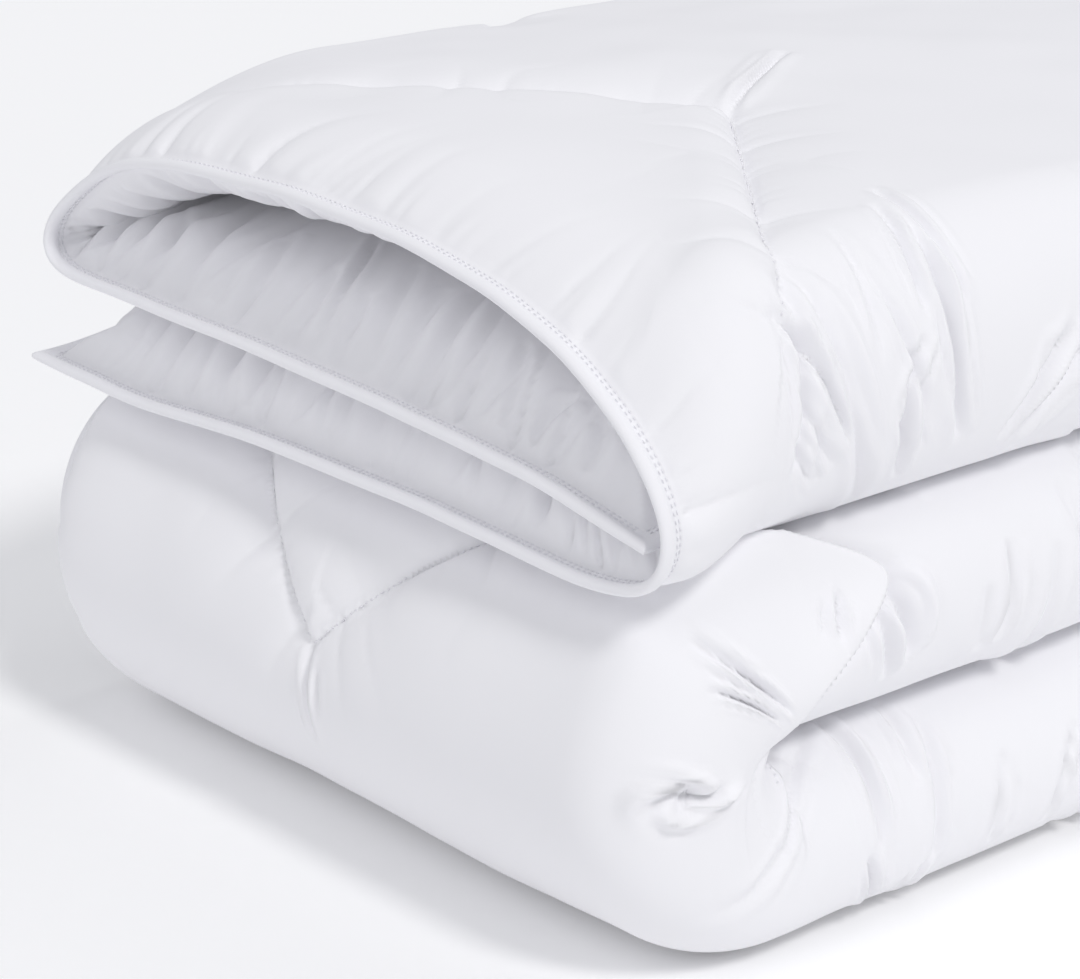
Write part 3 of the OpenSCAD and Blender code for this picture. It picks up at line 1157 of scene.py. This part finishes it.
class DUVET_OT_hems(bpy.types.Operator):
    """The rolled, double-stitched hems along the sides and ends"""

    bl_idname = "duvet.hems"
    bl_label = "Hems"

    def execute(self, context):
        made = cloth()
        side = rows(made.u, 0, HEM_W)
        tucked = rows(made.u, WIDTH - HEM_W, WIDTH)
        whole = slice(None)
        for section in SECTIONS:
            span = rows(made.s, *section_span(section))
            node = section + "_side_hem"
            settle(hem_object(node + "_band", (side, span), True, 0), section, node, "hem")
            node = section + "_tucked_hem"
            settle(hem_object(node + "_band", (tucked, span), False, 0), section, node, "hem")
        mouth = rows(made.s, 0, HEM_W)
        tail = rows(made.s, LENGTH - HEM_W, LENGTH)
        settle(hem_object("upper_end_hem_band", (whole, mouth), True, 1),
               "upper", "upper_end_hem", "hem")
        settle(hem_object("lower_end_hem_band", (whole, tail), False, 1),
               "lower", "lower_end_hem", "hem")
        return {"FINISHED"}


# The wadding's half thickness: this share of the sheets' own, less the inset, but not below the
# least. Its mesh keeps every fourth of the cloth's lines.
FILL_SHARE = 0.85
FILL_INSET = 0.0015
FILL_LEAST = 0.0004
FILL_STRIDE = 4


class DUVET_OT_fillings(bpy.types.Operator):
    """The wadding inside, one closed body for each section"""

    bl_idname = "duvet.fillings"
    bl_label = "Fillings"

    def execute(self, context):
        made = cloth()
        width = rows(made.u, 2 * HEM_W, WIDTH - 2 * HEM_W)
        for section in SECTIONS:
            low, high = section_span(section)
            low = max(low, 2 * HEM_W)
            high = min(high, LENGTH - 2 * HEM_W)
            span = rows(made.s, low, high)
            window = np.ix_(thinned(width, FILL_STRIDE), thinned(span, FILL_STRIDE))
            above, below = (np.maximum(FILL_SHARE * side[window] - FILL_INSET, FILL_LEAST)[..., None]
                            for side in (made.above, made.below))
            normals = made.normals[window]
            pad = closed_pad(section + "_wadding", made.middle[window] + normals * above,
                             made.middle[window] - normals * below)
            settle(pad, section, section + "_filling", "filling")
        return {"FINISHED"}


def closed_pad(name, outer, inner):
    """A closed body between two grids of points."""
    rows, columns = outer.shape[:2]
    count = rows * columns
    index = np.arange(count).reshape(rows, columns)
    rim = np.concatenate([index[:-1, 0], index[-1, :-1], index[:0:-1, -1], index[0, :0:-1]])
    following = np.roll(rim, -1)
    sides = np.stack([rim, following, following + count, rim + count], -1)
    faces = np.concatenate([
        grid_faces(rows, columns), grid_faces(rows, columns, start=count, flip=True), sides])
    points = np.concatenate([outer.reshape(-1, 3), inner.reshape(-1, 3)])
    return mesh_object(name, points, faces)


class DUVET_OT_quilting(bpy.types.Operator):
    """The stitches of the quilted chevrons"""

    bl_idname = "duvet.quilting"
    bl_label = "Quilting"

    def execute(self, context):
        sizes = context.scene.duvet_sizes
        slant = math.hypot(1, QUILT_SLOPE)
        for section in SECTIONS:
            low, high = section_span(section)
            marks = []
            for point_u, point_s in chevron_points():
                for side in (-1, 1):
                    for k in range(int(sizes.quilt_reach * slant / sizes.stitch)):
                        run = (k + 0.5) * sizes.stitch / slant
                        u = point_u + side * run
                        s = seam_place(u, point_s, QUILT_SLOPE * run)
                        if max(low, 3 * HEM_W) < s < high and 2 * HEM_W < u < WIDTH - 2 * HEM_W:
                            marks.append((u, s, side, -QUILT_SLOPE))
            stitches = stitch_object(section + "_quilting_stitches", {"outer": marks}, sizes)
            settle(stitches, section, section + "_quilting", "thread")
        return {"FINISHED"}


# Both rows of a hem's stitches, by their distance from its edge
STITCH_ROWS = (0.0096, 0.0120)

# The thread's radius, and how much of a stitch's spacing shows above the cloth
STITCH_RADIUS = 0.00045
STITCH_SHARE = 0.6

# Rings of a stitch: place along it, radius and lift over the cloth, in lengths and thread radii
STITCH_RINGS = ((-0.5, 0.3, -0.3), (-0.3, 1.0, 0.7), (0.3, 1.0, 0.7), (0.5, 0.3, -0.3))
RING_CORNERS = 4


class DUVET_OT_hem_stitches(bpy.types.Operator):
    """The rows of stitches that close the hems"""

    bl_idname = "duvet.hem_stitches"
    bl_label = "Hem stitches"

    def execute(self, context):
        sizes = context.scene.duvet_sizes
        for section in SECTIONS:
            low, high = section_span(section)
            marks = []
            for row in STITCH_ROWS:
                for s in np.arange(low + sizes.stitch / 2, high, sizes.stitch):
                    marks.append((row, s, 0, 1))
                    marks.append((WIDTH - row, s, 0, 1))
                if section in ("upper", "lower"):
                    s = row if section == "upper" else LENGTH - row
                    for u in np.arange(HEM_W, WIDTH - HEM_W, sizes.stitch):
                        marks.append((u, s, 1, 0))
            both = {"outer": marks, "inner": marks}
            stitches = stitch_object(section + "_hem_stitches", both, sizes)
            settle(stitches, section, None, "thread")
        return {"FINISHED"}


def on_sheet(made, face, u, s):
    """Points of one sheet at the places (u, s), its normals there and its directions along both."""
    grid = made.outer if face == "outer" else made.inner
    normals = made.outer_normals if face == "outer" else made.inner_normals
    i = np.clip(np.searchsorted(made.u, u) - 1, 0, len(made.u) - 2)
    j = np.clip(np.searchsorted(made.s, s) - 1, 0, len(made.s) - 2)
    a = ((u - made.u[i]) / (made.u[i + 1] - made.u[i]))[:, None]
    b = ((s - made.s[j]) / (made.s[j + 1] - made.s[j]))[:, None]
    near = grid[i, j] * (1 - a) + grid[i + 1, j] * a
    far = grid[i, j + 1] * (1 - a) + grid[i + 1, j + 1] * a
    left = grid[i, j] * (1 - b) + grid[i, j + 1] * b
    right = grid[i + 1, j] * (1 - b) + grid[i + 1, j + 1] * b
    return near * (1 - b) + far * b, normals[i, j], unit(right - left), unit(far - near)


def stitch_object(name, rows, sizes):
    """Short raised stitches; each mark is a place (u, s) and a direction in the cloth."""
    made = cloth()
    length = sizes.stitch * STITCH_SHARE
    quarter = 2 * math.pi / RING_CORNERS
    corners = [(math.cos(k * quarter), math.sin(k * quarter)) for k in range(RING_CORNERS)]
    all_points = []
    for face, marks in rows.items():
        u, s, du, ds = (np.array(column, float) for column in zip(*marks))
        centre, up, along_u, along_s = on_sheet(made, face, u, s)
        run = unit(along_u * du[:, None] + along_s * ds[:, None])
        side = np.cross(run, up)
        shape = [centre + run * (t * length) + up * STITCH_RADIUS * (lift + r * d)
                 + side * STITCH_RADIUS * r * c for t, r, lift in STITCH_RINGS for c, d in corners]
        all_points.append(np.stack(shape, 1).reshape(-1, 3))
    points = np.concatenate(all_points)
    count = RING_CORNERS * len(STITCH_RINGS)
    rings = np.arange(count).reshape(-1, RING_CORNERS)
    here, ahead = rings[:-1], rings[1:]
    walls = np.stack([here, np.roll(here, -1, 1), np.roll(ahead, -1, 1), ahead], -1)
    stitch = np.concatenate([walls.reshape(-1, 4), rings[:1, ::-1], rings[-1:]])
    faces = (np.arange(0, len(points), count)[:, None, None] + stitch).reshape(-1, 4)
    return mesh_object(name, points, faces)


OPERATORS = (DUVET_OT_stage, DUVET_OT_sheets, DUVET_OT_hems, DUVET_OT_fillings,
             DUVET_OT_quilting, DUVET_OT_hem_stitches)


class DUVET_PT_panel(bpy.types.Panel):
    """Lists the duvet's sizes, colours and pieces"""

    bl_label = "Folded duvet"
    bl_idname = "DUVET_PT_panel"
    bl_space_type = "VIEW_3D"
    bl_region_type = "UI"
    bl_category = "Duvet"

    def draw(self, context):
        for group in (context.scene.duvet_sizes, context.scene.duvet_colours):
            box = self.layout.box()
            for name in group.__annotations__:
                box.prop(group, name)
        for operator in OPERATORS:
            self.layout.operator(operator.bl_idname)


CLASSES = (DuvetSizes, DuvetColours, *OPERATORS, DUVET_PT_panel)


def register():
    """Adds the classes and the scene's two groups of properties."""
    for cls in CLASSES:
        bpy.utils.register_class(cls)
    bpy.types.Scene.duvet_sizes = PointerProperty(type=DuvetSizes)
    bpy.types.Scene.duvet_colours = PointerProperty(type=DuvetColours)


def unregister():
    """Takes away what register adds."""
    del bpy.types.Scene.duvet_colours
    del bpy.types.Scene.duvet_sizes
    for cls in reversed(CLASSES):
        bpy.utils.unregister_class(cls)


def main():
    """Makes every piece in order."""
    register()
    for operator in OPERATORS:
        group, name = operator.bl_idname.split(".")
        getattr(getattr(bpy.ops, group), name)()


if __name__ == "__main__":
    main()
